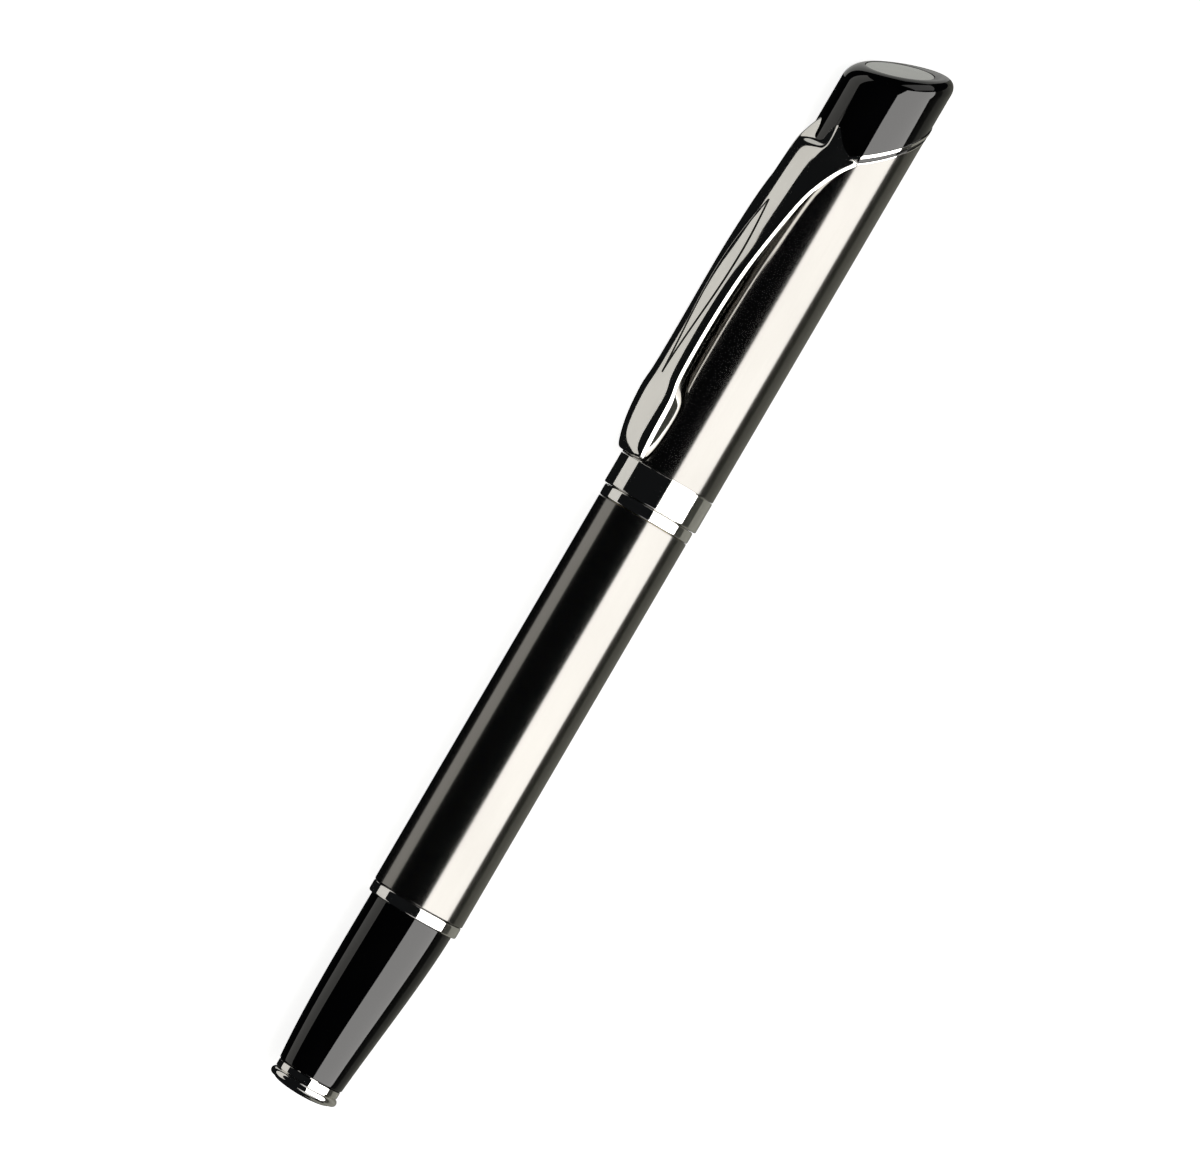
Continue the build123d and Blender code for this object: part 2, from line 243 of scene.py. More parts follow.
class Finish:
    """A surface finish: one shader, and the patterns that vary it."""

    def __init__(self, name, **fixed):
        self.material = bpy.data.materials.new(name)
        self.material.use_nodes = True
        self.tree = self.material.node_tree
        self.shader = self.tree.nodes["Principled BSDF"]
        for socket, value in fixed.items():
            self.shader.inputs[socket.replace("_", " ")].default_value = value
        self.place = self.node("ShaderNodeTexCoord", {}, output="Object")

    def node(self, kind, settings, output=0, **sockets):
        made = self.tree.nodes.new(kind)
        for setting, value in settings.items():
            setattr(made, setting, value)
        for socket, value in sockets.items():
            entry = made.inputs[int(socket[1:])] if socket[1:].isdigit() else made.inputs[socket.replace("_", " ")]
            if isinstance(value, Amount):
                self.tree.links.new(value.socket, entry)
            else:
                entry.default_value = value
        return Amount(self, made.outputs[output])

    def sum(self, operation, first, second):
        return self.node("ShaderNodeMath", {"operation": operation}, i0=first, i1=second)

    def grain(self, along, across, detail=3.0):
        """Uneven streaks, with this many to the metre along the pen and across it."""
        stretched = self.node("ShaderNodeMapping", {}, Vector=self.place, Scale=(along, across, across))
        return self.node("ShaderNodeTexNoise", {}, Vector=stretched, Scale=1.0, Detail=detail)

    def between(self, amount, low, high):
        """None at the low amount and all at the high one."""
        return self.node("ShaderNodeMapRange", {}, Value=amount, From_Min=low, From_Max=high)

    def mixed(self, amount, first, second):
        return self.node("ShaderNodeMix", {"data_type": "RGBA"}, output=2, i0=amount, i6=first, i7=second)

    def vary(self, socket, amount):
        self.tree.links.new(amount.socket, self.shader.inputs[socket])

    def relief(self, height, depth):
        self.vary("Normal", self.node("ShaderNodeBump", {}, Height=height, Distance=depth, Strength=1.0))


def chrome_plate(name, colour, dull_colour, polish, incision_and_shade=None):
    """Plating over brass: bright, with faint handling marks, hairlines and softer patches, and any cuts in it, which
    are dented in and also painted near black as painted shade.
    """
    plate = Finish(name, Metallic=1.0, IOR=2.5)
    patches = plate.between(plate.grain(160, 260, 2.0), 0.35, 0.7)
    hairlines = plate.between(plate.grain(9000, 700, 2.0), 0.66, 0.74)
    surface = plate.mixed(patches * 0.6 + hairlines * 0.25, (*colour, 1), (*dull_colour, 1))
    ripple = plate.grain(2600, 2600, 2.0) + hairlines * 0.4
    if incision_and_shade:
        cut_and_painted_shade = incision_and_shade(plate)
        # Painted shade: the cuts are coloured near black as the shade in the grooves, on top of the dent below.
        surface = plate.mixed(cut_and_painted_shade, surface, (0.012, 0.012, 0.011, 1))
        ripple = ripple - cut_and_painted_shade * 25.0
    plate.vary("Base Color", surface)
    plate.vary("Roughness", polish + patches * 0.035 + hairlines * 0.08)
    plate.relief(ripple, 0.0000012)
    return plate.material


def turned(name, outline, steps=192):
    """A piece turned about the pen's axis, from the (radius, height) corners of its closed half section."""
    bpy.ops.object.select_all(action="DESELECT")
    bpy.ops.mesh.primitive_plane_add(size=1, enter_editmode=True)
    piece = bpy.context.object
    piece.name = piece.data.name = name
    bpy.ops.mesh.select_mode(type="VERT")
    bpy.ops.mesh.merge(type="CENTER")
    bpy.ops.transform.translate(value=(outline[0][0], 0, outline[0][1]))
    for (r, z), (next_r, next_z) in zip(outline, outline[1:] + outline[:1]):
        bpy.ops.mesh.extrude_region_move(TRANSFORM_OT_translate={"value": (next_r - r, 0, next_z - z)})
    bpy.ops.mesh.select_all(action="SELECT")
    bpy.ops.mesh.spin(steps=steps, angle=2 * pi, center=(0, 0, 0), axis=(0, 0, 1))
    bpy.ops.mesh.select_all(action="SELECT")
    bpy.ops.mesh.remove_doubles(threshold=0.0005)
    bpy.ops.mesh.normals_make_consistent(inside=False)
    bpy.ops.object.mode_set(mode="OBJECT")
    return piece


def soften(piece, width, segments=3, corner=25):
    """Breaks the sharp corners, as tumbling and plating do."""
    bpy.context.view_layer.objects.active = piece
    edges = piece.modifiers.new("edges", "BEVEL")
    edges.width = width
    edges.segments = segments
    edges.angle_limit = radians(corner)
    bpy.ops.object.modifier_apply(modifier="edges")
    piece.select_set(True)
    bpy.ops.object.shade_smooth_by_angle(angle=radians(35))
    shading = piece.modifiers.new("shading", "WEIGHTED_NORMAL")
    shading.keep_sharp = True
    bpy.ops.object.modifier_apply(modifier="shading")


TAIL_SIDESTEP = 0.95
chrome = chrome_plate("chrome", (0.90, 0.89, 0.87), (0.78, 0.77, 0.74), 0.035)

dome = [(3.72 * sin(radians(t)), 0.72 - 0.7 * cos(radians(t))) for t in range(0, 91, 10)]
rim = [(3.78 + 0.5 * sin(radians(t)), 1.12 - 0.5 * cos(radians(t))) for t in range(0, 181, 15)]
tail_finial = turned("finial", dome[:-1] + rim + [(4.0, 1.72), (4.0, 2.5), (1.8, 2.5), (1.8, 5.45), (0, 5.45)])
soften(tail_finial, 0.05, corner=40)
tail_finial.location.x = TAIL_SIDESTEP
bpy.ops.object.transform_apply()
tail_finial.data.materials.append(chrome)
lay_down(tail_finial, "barrel", "chrome", "tail_finial")

# ---- tail ----
# A moulded cone in deep gloss black. It thins and steps to one side towards the finial.
# It is pressed into the end of the barrel by a round spigot.


def black_gloss(name, tint):
    """Polished resin: nearly black, with the faint ripple, haze and hairlines of buffing."""
    resin = Finish(name, IOR=1.58, Coat_Weight=0.0)
    haze = resin.between(resin.grain(120, 200, 2.0), 0.38, 0.72)
    hairlines = resin.between(resin.grain(5200, 800, 2.0), 0.68, 0.76)
    resin.vary("Base Color", resin.mixed(haze, (*tint, 1), (tint[0] * 2.2, tint[1] * 2.2, tint[2] * 2.3, 1)))
    resin.vary("Roughness", 0.028 + haze * 0.022 + hairlines * 0.05)
    resin.relief(resin.grain(420, 420, 1.0) + hairlines * 0.05, 0.0000028)
    return resin.material


TAIL_START = 2.5
TAIL_END = 24.3
gloss_black = black_gloss("gloss_black", (0.0022, 0.0022, 0.0025))

bpy.ops.object.select_all(action="DESELECT")
bpy.ops.mesh.primitive_circle_add(vertices=96, radius=4.07, location=(0, 0, 0), enter_editmode=True)
tail_cone = bpy.context.object
tail_cone.name = tail_cone.data.name = "tail"
bpy.ops.transform.translate(value=(TAIL_SIDESTEP, 0, TAIL_START + 0.1))
bpy.ops.transform.resize(value=(0.975, 0.975, 1), center_override=(TAIL_SIDESTEP, 0, TAIL_START))
middle, height, radius = TAIL_SIDESTEP, TAIL_START + 0.1, 4.07 * 0.975
stations = [TAIL_START + 0.25] + [TAIL_START + n * (TAIL_END - TAIL_START) / 28 for n in range(1, 29)]
for next_height in stations:
    depth = max(0.0, TAIL_END - next_height) / (TAIL_END - TAIL_START)
    next_middle = TAIL_SIDESTEP * sin(radians(90 * depth ** 1.4))
    next_radius = 5.25 - 1.18 * depth ** 1.6
    shift = (next_middle - middle, 0, next_height - height)
    bpy.ops.mesh.extrude_region_move(TRANSFORM_OT_translate={"value": shift})
    grow = next_radius / radius
    bpy.ops.transform.resize(value=(grow, grow, 1), center_override=(next_middle, 0, next_height))
    middle, height, radius = next_middle, next_height, next_radius
bpy.ops.mesh.extrude_region_move(TRANSFORM_OT_translate={"value": (0, 0, 0)})
bpy.ops.transform.resize(value=(5.05 / radius, 5.05 / radius, 1), center_override=(0, 0, height))
bpy.ops.mesh.extrude_region_move(TRANSFORM_OT_translate={"value": (0, 0, 5.95)})
bpy.ops.mesh.edge_face_add()
bpy.ops.mesh.select_all(action="DESELECT")
bpy.ops.mesh.select_non_manifold()
bpy.ops.mesh.edge_face_add()
bpy.ops.mesh.select_all(action="SELECT")
bpy.ops.mesh.normals_make_consistent(inside=False)
bpy.ops.object.mode_set(mode="OBJECT")
soften(tail_cone, 0.06, corner=50)
tail_cone.data.materials.append(gloss_black)
lay_down(tail_cone, "barrel", "black_lacquer", "tail_cone")


# ---- tail ring ----
# A narrow plated ring between the tail and the barrel, with rolled edges.


def rolled_ring(name, outer, inner, low, high, roll=0.22):
    """A plated ring whose outer edges are rolled over."""
    lower = [(outer - roll + roll * sin(radians(t)), low + roll - roll * cos(radians(t))) for t in range(0, 91, 15)]
    upper = [(r, low + high - z) for r, z in reversed(lower)]
    ring = turned(name, lower + upper + [(inner, high), (inner, low)])
    soften(ring, 0.03, corner=60)
    ring.data.materials.append(chrome)
    return ring


tail_ring = rolled_ring("tail_end_ring", 5.73, 5.1, 24.32, 25.74)
lay_down(tail_ring, "barrel", "chrome", "tail_ring")


# ---- barrel tube ----
# A drawn brass tube, finely ground along its length and plated in warm dark grey, so that it shines softly.


def satin_plate(name, colour, dull_colour):
    """Fine lengthwise grinding under dark plating, with a few longer scratches and a rubbed bloom."""
    plate = Finish(name, Metallic=1.0)
    grinding = plate.grain(60, 9000, 3.0)
    scratches = plate.between(plate.grain(24, 5200, 1.0), 0.70, 0.78)
    bloom = plate.between(plate.grain(55, 160, 3.0), 0.35, 0.7)
    plate.vary("Base Color", plate.mixed(bloom * 0.5 + grinding * 0.4, (*colour, 1), (*dull_colour, 1)))
    plate.vary("Roughness", 0.12 + grinding * 0.05 + bloom * 0.02 - scratches * 0.04)
    plate.relief(grinding + scratches * 0.5, 0.00000012)
    return plate.material


satin_gunmetal = satin_plate("satin_gunmetal", (0.262, 0.255, 0.242), (0.228, 0.22, 0.208))
BARREL_START = 25.8
BARREL_END = 76.8
barrel_tube = turned("barrel", [(5.1, BARREL_START), (5.7, BARREL_START), (5.77, BARREL_START + 0.08),
                                     (5.77, BARREL_END - 0.1), (5.7, BARREL_END - 0.02), (5.1, BARREL_END - 0.02)])
soften(barrel_tube, 0.03, corner=60)
barrel_tube.data.materials.append(satin_gunmetal)
lay_down(barrel_tube, "barrel", "satin_gunmetal", "barrel_tube")


# ---- section ring ----
# The plated ring that stays with the writing section and closes against the cap.

section_ring = rolled_ring("joint_ring", 5.79, 4.35, 76.82, 78.28)
lay_down(section_ring, "section", "chrome", "section_ring")


# ---- cap band ----
# A broad plated band round the cap's mouth, with a step inside that the snap ring clicks over.

CAP_BAND = [(5.1, 78.36), (5.9, 78.36), (5.99, 78.42), (6.03, 78.52), (6.03, 82.2), (5.97, 82.26), (5.5, 82.26),
            (5.5, 86.2), (5.1, 86.2)]
cap_band = turned("mouth_band", CAP_BAND)
soften(cap_band, 0.03, corner=60)
cap_band.data.materials.append(chrome)
lay_down(cap_band, "cap", "chrome", "cap_band")


# ---- cap tube ----
# A tube like the barrel's. Its upper end is cut on a slant, lowest at the clip.

TRIM_HEIGHT = 127.2
TRIM_SLANT = radians(40.6)


def cut_slant(piece, height, slant, keep_below):
    """Cuts the piece across on a slant that falls towards the clip."""
    bpy.ops.object.select_all(action="DESELECT")
    bpy.context.view_layer.objects.active = piece
    bpy.ops.object.mode_set(mode="EDIT")
    bpy.ops.mesh.select_all(action="SELECT")
    bpy.ops.mesh.bisect(plane_co=(0, 0, height), plane_no=(sin(slant), 0, cos(slant)), use_fill=True,
                        clear_outer=keep_below, clear_inner=not keep_below, threshold=0.0001)
    bpy.ops.object.mode_set(mode="OBJECT")


cap_tube = turned("cap_shell", [(5.5, 82.34), (5.93, 82.34), (6.0, 82.42), (6.0, 140.0), (5.5, 140.0)], 384)
cut_slant(cap_tube, TRIM_HEIGHT - 0.5, TRIM_SLANT, keep_below=True)
soften(cap_tube, 0.04, corner=60)
cap_tube.data.materials.append(satin_gunmetal)
lay_down(cap_tube, "cap", "satin_gunmetal", "cap_tube")


# ---- trim ring ----
# A bright plated ring on the slant between the cap tube and the crown, with a fine bead below it. Between them a
# black ring paints the shade in the groove.


def slanted_ring(name, outer, inner, low, high, roll):
    ring = turned(name, [(inner, 115.0), (outer, 115.0), (outer, 140.0), (inner, 140.0)], 384)
    cut_slant(ring, high, TRIM_SLANT, keep_below=True)
    cut_slant(ring, low, TRIM_SLANT, keep_below=False)
    soften(ring, roll, corner=50)
    ring.data.materials.append(chrome)
    return ring


# Each ring's last three sizes are its lower edge, its upper edge and the rounding of its edges.
trim_ring = slanted_ring("slanted_trim", 6.1, 5.52, TRIM_HEIGHT + 0.16, TRIM_HEIGHT + 0.6, 0.14)
lay_down(trim_ring, "cap", "chrome", "trim_ring")
trim_bead = slanted_ring("trim_bead", 6.04, 5.8, TRIM_HEIGHT - 0.62, TRIM_HEIGHT - 0.47, 0.04)
lay_down(trim_bead, "cap", "chrome")
# Painted shade: a black ring put in the groove between the bead and the trim ring, where the groove lies in shade.
groove_shade_ring = slanted_ring("groove_shade_ring", 5.8, 5.55, TRIM_HEIGHT - 0.65, TRIM_HEIGHT + 0.2, 0.02)
groove_shade_ring.data.materials.clear()
groove_shade_ring.data.materials.append(gloss_black)
lay_down(groove_shade_ring, "cap", "black_lacquer")


# ---- crown ----
# The cap's moulded gloss black top, cut slantwise at both ends, with a soft rim.
# A plug below holds it in the cap tube, drawn down by the screw.

CROWN_HEIGHT = 136.35
CROWN_SLANT = radians(24)
CROWN_RADIUS = 5.99
CROWN_ROUNDING = 1.75
POCKET_RADIUS = 4.1
DISC_SHIFT = 0.7


def top_place(shift, depth):
    """A place on the crown's slanted top, this far towards the clip and this deep."""
    return Matrix.Translation((0, 0, CROWN_HEIGHT)) @ Matrix.Rotation(CROWN_SLANT, 4, "Y") @ Matrix.Translation(
        (shift, 0, -depth))


crown = turned("crown", [(0, 110.0), (CROWN_RADIUS, 110.0), (CROWN_RADIUS, 146.0), (0, 146.0)], 256)
cut_slant(crown, CROWN_HEIGHT, CROWN_SLANT, keep_below=True)
cut_slant(crown, TRIM_HEIGHT + 0.62, TRIM_SLANT, keep_below=False)
bpy.ops.object.mode_set(mode="EDIT")
bpy.ops.mesh.select_mode(type="FACE")
bpy.ops.mesh.select_all(action="DESELECT")
bpy.ops.object.mode_set(mode="OBJECT")
top_normal = Vector((sin(CROWN_SLANT), 0, cos(CROWN_SLANT)))
for face in crown.data.polygons:
    face.select = face.normal.dot(top_normal) > 0.999 and face.center.z > 130
bpy.ops.object.mode_set(mode="EDIT")
bpy.ops.mesh.dissolve_faces()
bpy.ops.mesh.bevel(offset=CROWN_ROUNDING, segments=12, affect="EDGES", clamp_overlap=False)
bpy.ops.object.mode_set(mode="OBJECT")

bpy.ops.object.select_all(action="DESELECT")
bpy.ops.mesh.primitive_cylinder_add(vertices=96, radius=POCKET_RADIUS, depth=1.0)
recess = bpy.context.object
recess.matrix_world = top_place(DISC_SHIFT, -0.28)
bpy.context.view_layer.objects.active = crown
pocket = crown.modifiers.new("pocket", "BOOLEAN")
pocket.object = recess
pocket.solver = "EXACT"
bpy.ops.object.modifier_apply(modifier="pocket")
bpy.data.objects.remove(recess)
soften(crown, 0.07, corner=32)
crown.data.materials.append(gloss_black)
lay_down(crown, "cap", "black_lacquer", "cap_crown")


# ---- crown disc ----
# A plain polished plate, dark grey, set into the crown's top just below its surface.

grey_plate = chrome_plate("dark_plate", (0.50, 0.51, 0.48), (0.42, 0.43, 0.41), 0.06)
disc = turned("disc", [(0, -0.5), (4.04, -0.5), (4.04, -0.06), (3.92, 0.0), (0, 0.0)])
disc.matrix_world = top_place(DISC_SHIFT, 0.03)
bpy.ops.object.select_all(action="DESELECT")
disc.select_set(True)
bpy.ops.object.transform_apply()
soften(disc, 0.05, corner=40)
disc.data.materials.append(grey_plate)
lay_down(disc, "cap", "polished_disc", "crown_disc")


# ---- clip ----
# One springy pressing, polished and plated. Its shoulder hooks into the crown, and its flanks sweep into the trim.
# The arm narrows to a neck and ends in a spatula with turned-down sides, just clear of the cap.
# Each row is a height, the crest, the face's half width, the shoulder, the rim, the wall's foot and the underside.

CLIP_ROWS = [
    (82.45, 6.85, 1.1, (6.6, 1.9), (6.5, 2.1), (6.2, 2.0), 6.2),
    (82.75, 7.2, 1.5, (6.9, 2.2), (6.75, 2.4), (5.9, 2.3), 6.15),
    (84.0, 7.72, 1.65, (7.36, 2.28), (7.1, 2.62), (5.7, 2.6), 6.2),
    (86.0, 8.05, 1.75, (7.76, 2.5), (7.48, 2.9), (5.6, 2.81), 6.3),
    (88.4, 8.22, 1.8, (7.94, 2.62), (7.66, 3.04), (5.56, 2.92), 6.4),
    (90.2, 8.3, 1.75, (8.04, 2.62), (7.76, 3.07), (5.75, 2.96), 6.45),
    (91.4, 8.36, 1.5, (8.1, 2.32), (7.85, 2.8), (6.3, 2.5), 6.5),
    (92.5, 8.4, 1.3, (8.15, 1.98), (7.95, 2.47), (6.6, 2.1), 6.5),
    (98.0, 8.42, 1.25, (8.17, 1.9), (7.98, 2.4), (6.65, 2.02), 6.55),
    (102.0, 8.4, 1.3, (8.15, 1.96), (7.96, 2.48), (6.65, 2.1), 6.55),
    (106.4, 8.3, 1.42, (8.03, 2.15), (7.83, 2.7), (6.55, 2.3), 6.5),
    (109.3, 8.14, 1.55, (7.83, 2.32), (7.58, 2.95), (6.45, 2.55), 6.4),
    (112.0, 7.95, 1.7, (7.54, 2.45), (7.26, 3.2), (6.25, 2.8), 6.3),
    (115.0, 7.72, 1.8, (7.27, 2.6), (6.9, 3.48), (5.95, 3.05), 6.2),
    (118.0, 7.5, 1.85, (7.02, 2.7), (6.35, 3.75), (5.5, 3.3), 6.1),
    (119.3, 7.42, 1.9, (6.93, 2.75), (5.82, 3.95), (5.2, 3.5), 5.85),
    (120.4, 7.34, 1.9, (6.84, 2.8), (5.4, 4.12), (4.75, 3.6), 5.8),
    (122.1, 7.2, 1.9, (6.7, 2.85), (4.6, 4.5), (4.2, 4.1), 5.8),
    (123.1, 7.0, 1.8, (6.6, 2.88), (3.92, 4.8), (3.7, 4.5), 5.8),
    (123.6, 6.62, 1.7, (6.54, 2.88), (3.55, 4.98), (3.3, 4.6), 5.7),
    (124.1, 5.97, 1.6, (6.48, 2.88), (3.25, 5.12), (3.0, 4.8), 5.5),
    (124.8, 5.86, 1.5, (6.28, 2.68), (4.02, 4.08), (3.8, 3.9), 5.4),
    (125.5, 5.88, 1.4, (6.1, 2.48), (4.72, 3.28), (4.5, 3.1), 5.3),
    (126.4, 5.84, 1.2, (5.88, 2.08), (5.15, 2.65), (4.9, 2.5), 5.2),
    (127.3, 5.6, 1.0, (5.6, 1.6), (5.2, 2.0), (5.0, 1.9), 5.1),
]

# The face is domed from side to side between these heights, and nearly flat below and above them.
DOMED_FROM = 108
DOMED_TO = 124
DOMED_FALL = 0.45
FLAT_FALL = 0.2

points, faces = [], []
for height, crest, face_half, shoulder, rim_corner, foot, under in CLIP_ROWS:
    fall = DOMED_FALL if DOMED_FROM < height < DOMED_TO else FLAT_FALL
    edge_drop = fall * (crest - shoulder[0])
    rim_low = (rim_corner[0] - 0.38, rim_corner[1] + 0.1)
    half = [(crest - 0.2 * edge_drop, 0.5 * face_half), (crest - edge_drop, face_half), shoulder, rim_corner,
            rim_low, foot, (under, 0.55 * foot[1])]
    ring = [(crest, 0)] + half + [(under, 0)] + [(x, -y) for x, y in reversed(half)]
    points += [(x, y, height) for x, y in ring]
around = len(ring)
for row in range(len(CLIP_ROWS) - 1):
    for n in range(around):
        faces.append((row * around + n, row * around + (n + 1) % around,
                      (row + 1) * around + (n + 1) % around, (row + 1) * around + n))
faces.append(tuple(range(around)))
faces.append(tuple(range(len(points) - around, len(points))))
clip_mesh = bpy.data.meshes.new("clip")
clip_mesh.from_pydata(points, [], faces)
clip = bpy.data.objects.new("clip", clip_mesh)
bpy.context.scene.collection.objects.link(clip)
bpy.ops.object.select_all(action="DESELECT")
bpy.context.view_layer.objects.active = clip
clip.select_set(True)
bpy.ops.object.mode_set(mode="EDIT")
bpy.ops.mesh.select_all(action="SELECT")
bpy.ops.mesh.normals_make_consistent(inside=False)
bpy.ops.object.mode_set(mode="OBJECT")
creases = clip.data.attributes.new("crease_edge", "FLOAT", "EDGE")
CREASED = {3: 0.35, 4: 0.8, 5: 0.9, 6: 0.95}
for edge in clip.data.edges:
    places = [v % around for v in edge.vertices]
    along = min(places[0], around - places[0])
    if places[0] == places[1] and along in CREASED:
        creases.data[edge.index].value = CREASED[along]
smooth = clip.modifiers.new("smooth", "SUBSURF")
smooth.levels = smooth.render_levels = 3
bpy.ops.object.modifier_apply(modifier="smooth")
bpy.ops.object.shade_smooth_by_angle(angle=radians(50))

LEAF_START = 92.3
LEAF_LENGTH = 23.3
LEAF_HALF_WIDTH = 1.2


def leaf_cuts_and_shade(plate):
    """Two fine cuts down the clip's face that part and meet again, like the sides of a long leaf. The mask dents
    them and also paints them near black as painted shade.
    """
    foot_of_leaf = laid_down @ Vector((0, 0, LEAF_START))
    from_foot = plate.node("ShaderNodeVectorMath", {"operation": "SUBTRACT"}, i0=plate.place, i1=foot_of_leaf)
    along = plate.node("ShaderNodeVectorMath", {"operation": "DOT_PRODUCT"}, output="Value", i0=from_foot,
                       i1=(-1000 / LEAF_LENGTH, 0, 0))
    across = plate.node("ShaderNodeVectorMath", {"operation": "DOT_PRODUCT"}, output="Value", i0=from_foot,
                        i1=(0, -1000 * cos(CLIP_TURN), 1000 * sin(CLIP_TURN)))
    along = plate.between(along, 0.0, 1.0)
    bulge = plate.node("ShaderNodeMath", {"operation": "SINE"}, i0=plate.sum("POWER", along, 1.38) * pi)
    to_middle = plate.node("ShaderNodeMath", {"operation": "ABSOLUTE"}, i0=across)
    to_cut = plate.node("ShaderNodeMath", {"operation": "ABSOLUTE"}, i0=to_middle - bulge * LEAF_HALF_WIDTH)
    return plate.between(to_cut, 0.17, 0.08) * plate.between(along * (1 - along), 0.0, 0.004)


# The clip's leaf cuts are painted near black as painted shade, as well as dented.
clip_chrome = chrome_plate("clip_chrome", (0.86, 0.85, 0.82), (0.74, 0.73, 0.70), 0.04, leaf_cuts_and_shade)
clip.data.materials.append(clip_chrome)
lay_down(clip, None, "clip_chrome", "clip_base", "clip_arm")
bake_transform(clip)


# ---- section ferrule and thread bush ----
# The turned brass core of the writing section, with a fine rolled thread. It screws into a brass bush in the barrel.
# The crown's screw bears on a third turned brass piece.


def turned_brass(name):
    """Brass straight from the lathe: fine tool rings, warm patches of tarnish and a few bright scratches."""
    brass = Finish(name, Metallic=1.0)
    rings = brass.grain(6000, 40, 2.0)
    tarnish = brass.between(brass.grain(240, 300, 3.0), 0.4, 0.68)
    scratches = brass.between(brass.grain(700, 7000, 2.0), 0.68, 0.76)
    brass.vary("Base Color", brass.mixed(tarnish - scratches * 0.5, (0.80, 0.62, 0.30, 1), (0.60, 0.42, 0.18, 1)))
    brass.vary("Roughness", 0.2 + rings * 0.12 + tarnish * 0.12)
    brass.relief(rings + scratches * 0.3, 0.000004)
    return brass.material


def refinish(material, *nodes):
    for name in nodes:
        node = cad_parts[name]
        node.data.materials.clear()
        node.data.materials.append(material)


THREAD_PITCH = 0.75
THREAD_TURNS = 10
THREAD_START = (4.0, 0, 68.5)
brass = turned_brass("turned_brass")
ferrule = turned("ferrule", [(3.15, 67.5), (3.85, 67.5), (4.05, 67.8), (4.05, 76.2), (4.3, 76.45), (4.3, 78.3),
                             (4.0, 78.3), (4.0, 83.95), (3.15, 83.95)])
soften(ferrule, 0.04, corner=60)
ferrule.data.materials.append(brass)
lay_down(ferrule, "section", "brass", "section_ferrule")

bpy.ops.object.select_all(action="DESELECT")
bpy.ops.mesh.primitive_circle_add(vertices=4, radius=0.3, rotation=(pi / 2, 0, 0), location=THREAD_START,
                                  enter_editmode=True)
thread = bpy.context.object
thread.name = thread.data.name = "thread"
bpy.ops.mesh.select_mode(type="VERT")
bpy.ops.transform.resize(value=(0.9, 1, 1), center_override=THREAD_START)
bpy.ops.object.mode_set(mode="OBJECT")
bpy.ops.object.transform_apply()
helix = thread.modifiers.new("helix", "SCREW")
helix.screw_offset = THREAD_PITCH
helix.iterations = THREAD_TURNS
helix.steps = helix.render_steps = 64
bpy.ops.object.modifier_apply(modifier="helix")
bpy.ops.object.mode_set(mode="EDIT")
bpy.ops.mesh.select_all(action="DESELECT")
bpy.ops.mesh.select_non_manifold()
bpy.ops.mesh.edge_face_add()
bpy.ops.mesh.select_all(action="SELECT")
bpy.ops.mesh.normals_make_consistent(inside=False)
bpy.ops.object.mode_set(mode="OBJECT")
bpy.ops.object.shade_smooth_by_angle(angle=radians(35))
thread.data.materials.append(brass)
lay_down(thread, "section", "brass")
refinish(brass, "thread_bush", "cap_bush")

# ---- section collar and snap ring ----
# A plated collar that fills the cap's mouth. A split ring of spring wire sits in its groove and clicks into the cap.


def bright_steel(name, colour, along, across):
    """Drawn and polished steel, with fine lengthwise draw lines and a faint grey film."""
    steel = Finish(name, Metallic=1.0)
    lines = steel.grain(along, across, 3.0)
    film = steel.between(steel.grain(400, 500, 3.0), 0.4, 0.7)
    dull_colour = tuple(0.8 * channel for channel in colour)
    steel.vary("Base Color", steel.mixed(film * 0.7 + lines * 0.2, (*colour, 1), (*dull_colour, 1)))
    steel.vary("Roughness", 0.17 + lines * 0.1 + film * 0.06)
    steel.relief(lines, 0.000002)
    return steel.material


section_collar = turned("collar", [(4.02, 78.3), (4.95, 78.3), (4.95, 80.0), (4.55, 80.0), (4.55, 80.8),
                                   (4.95, 80.8), (4.95, 83.25), (4.8, 83.46), (4.02, 83.46)])
soften(section_collar, 0.05, corner=30)
section_collar.data.materials.append(chrome)
lay_down(section_collar, "section", "chrome", "section_collar")
spring_steel = bright_steel("spring_steel", (0.62, 0.62, 0.63), 2500, 2500)
refinish(spring_steel, "snap_ring", "refill_spring", "crown_screw")

# ---- grip ----
# The part that the fingers hold: a moulded black sleeve, gently waisted towards the point.

GRIP_START = 83.5
GRIP_END = 110.95
GRIP_STATIONS = 40


def grip_radius(z):
    return 3.7 + 1.03 * (1 + cos(pi * (z - GRIP_START) / (GRIP_END - GRIP_START))) / 2


grip_black = black_gloss("grip_black", (0.004, 0.004, 0.0045))
grip_heights = [GRIP_START + 0.02 + 27.43 * n / GRIP_STATIONS for n in range(GRIP_STATIONS + 1)]
grip_side = [(grip_radius(z), z) for z in grip_heights]
grip = turned("grip", [(4.02, GRIP_START + 0.02)] + grip_side + [(3.1, GRIP_END), (3.1, 84.0), (4.02, 84.0)])
soften(grip, 0.1, corner=60)
grip.data.materials.append(grip_black)
lay_down(grip, "section", "black_grip", "section_grip")

# ---- nose ----
# A plated cone that closes the section. The refill's point comes through its hole.

nose_side = [(2.4 + 1.22 * cos(radians(t)) ** 0.8, 111.55 + 2.42 * sin(radians(t))) for t in range(0, 81, 10)]
nose = turned("nose", [(2.1, 111.0), (3.55, 111.0), (3.68, 111.12), (3.68, 111.4)] + nose_side
              + [(2.3, 113.98), (2.1, 113.9)])
soften(nose, 0.04, corner=45)
nose.data.materials.append(chrome)
lay_down(nose, "section", "chrome", "section_nose")

# ---- refill ----
# A drawn steel tube with a plastic plug at one end and a plastic nose at the other, around a wound ink fibre.
# A short coil spring in a plastic seat presses it forward.


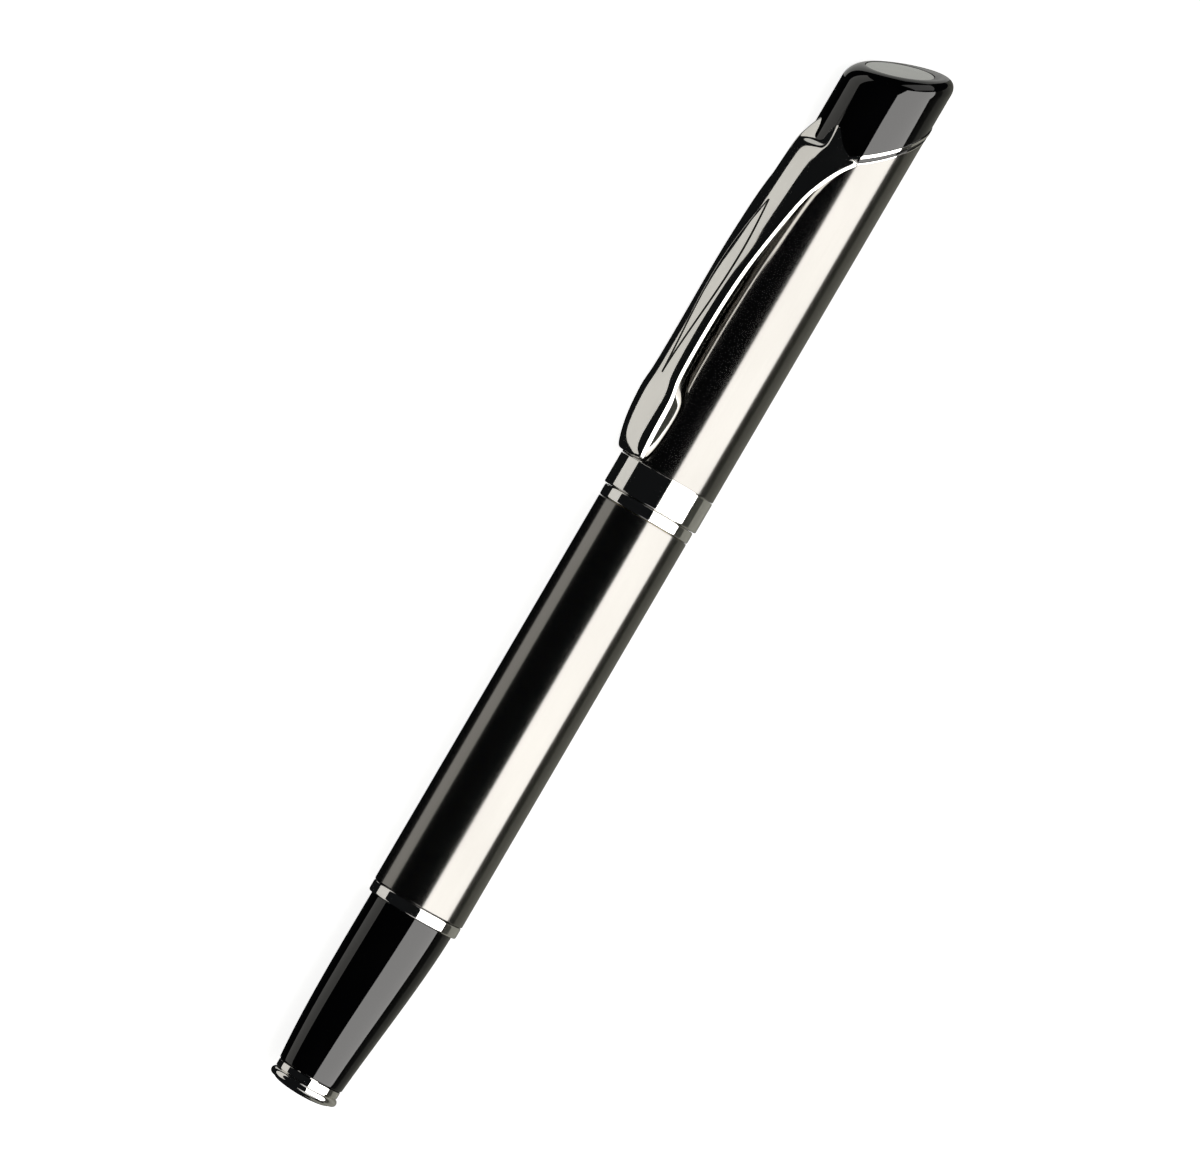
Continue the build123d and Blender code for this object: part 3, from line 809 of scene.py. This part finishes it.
def moulded(name, colour, worn_colour, polish):
    """Moulded plastic: a very fine sparked surface, slight unevenness of colour, and scuffs."""
    plastic = Finish(name, IOR=1.49)
    flow = plastic.between(plastic.grain(180, 350, 3.0), 0.35, 0.7)
    sparked = plastic.grain(5200, 5200, 2.0)
    scuffs = plastic.between(plastic.grain(900, 4600, 2.0), 0.66, 0.76)
    plastic.vary("Base Color", plastic.mixed(flow * 0.7 + scuffs * 0.3, (*colour, 1), (*worn_colour, 1)))
    plastic.vary("Roughness", polish + sparked * 0.1 + scuffs * 0.12)
    plastic.relief(sparked + scuffs * 0.4, 0.000006)
    return plastic.material


def wound_fibre(name):
    """Fibres laid nearly straight and soaked with black ink: glossy where wet, dull between."""
    fibre = Finish(name, IOR=1.4)
    strands = fibre.grain(220, 9000, 4.0)
    wet = fibre.between(fibre.grain(300, 500, 3.0), 0.4, 0.65)
    fibre.vary("Base Color", fibre.mixed(strands, (0.008, 0.008, 0.02, 1), (0.035, 0.034, 0.06, 1)))
    fibre.vary("Roughness", 0.75 - wet * 0.35 + strands * 0.1)
    fibre.relief(strands, 0.00002)
    return fibre.material


black_plastic = moulded("black_plastic", (0.018, 0.018, 0.019), (0.034, 0.034, 0.035), 0.38)
white_plastic = moulded("white_plastic", (0.80, 0.79, 0.75), (0.72, 0.71, 0.66), 0.32)
refill_steel = bright_steel("refill_steel", (0.66, 0.66, 0.65), 60, 7000)
refinish(black_plastic, "spring_seat", "cap_liner")
refinish(white_plastic, "refill_end_plug", "refill_nose", "feed_rod")
refinish(refill_steel, "refill_tube")
refinish(wound_fibre("ink_fibre"), "ink_fibre")

# ---- point ----
# A turned nickel silver point, closed round a ball of polished carbide that turns as the pen writes.

nickel_silver = bright_steel("nickel_silver", (0.70, 0.67, 0.61), 7000, 90)
point = turned("point", [(0, 112.95), (1.15, 112.95), (1.15, 114.5), (1.05, 114.72), (0.9, 114.95), (0.62, 115.95),
                         (0.43, 116.42), (0.39, 116.56), (0.367, 116.56), (0.367, 116.2), (0, 115.95)], 64)
soften(point, 0.02, corner=35)
point.data.materials.append(nickel_silver)
lay_down(point, "refill", "nickel_silver", "point_tip")
carbide = bright_steel("carbide", (0.42, 0.42, 0.44), 6000, 6000)
BALL_RADIUS = 0.35
BALL_HEIGHT = 116.45
ball_side = [(BALL_RADIUS * sin(radians(t)), BALL_HEIGHT - BALL_RADIUS * cos(radians(t))) for t in range(0, 181, 9)]
ball = turned("point_sphere", ball_side, 40)
bpy.ops.object.shade_smooth_by_angle(angle=radians(35))
ball.data.materials.append(carbide)
lay_down(ball, "ball", "ball_carbide", "point_ball")
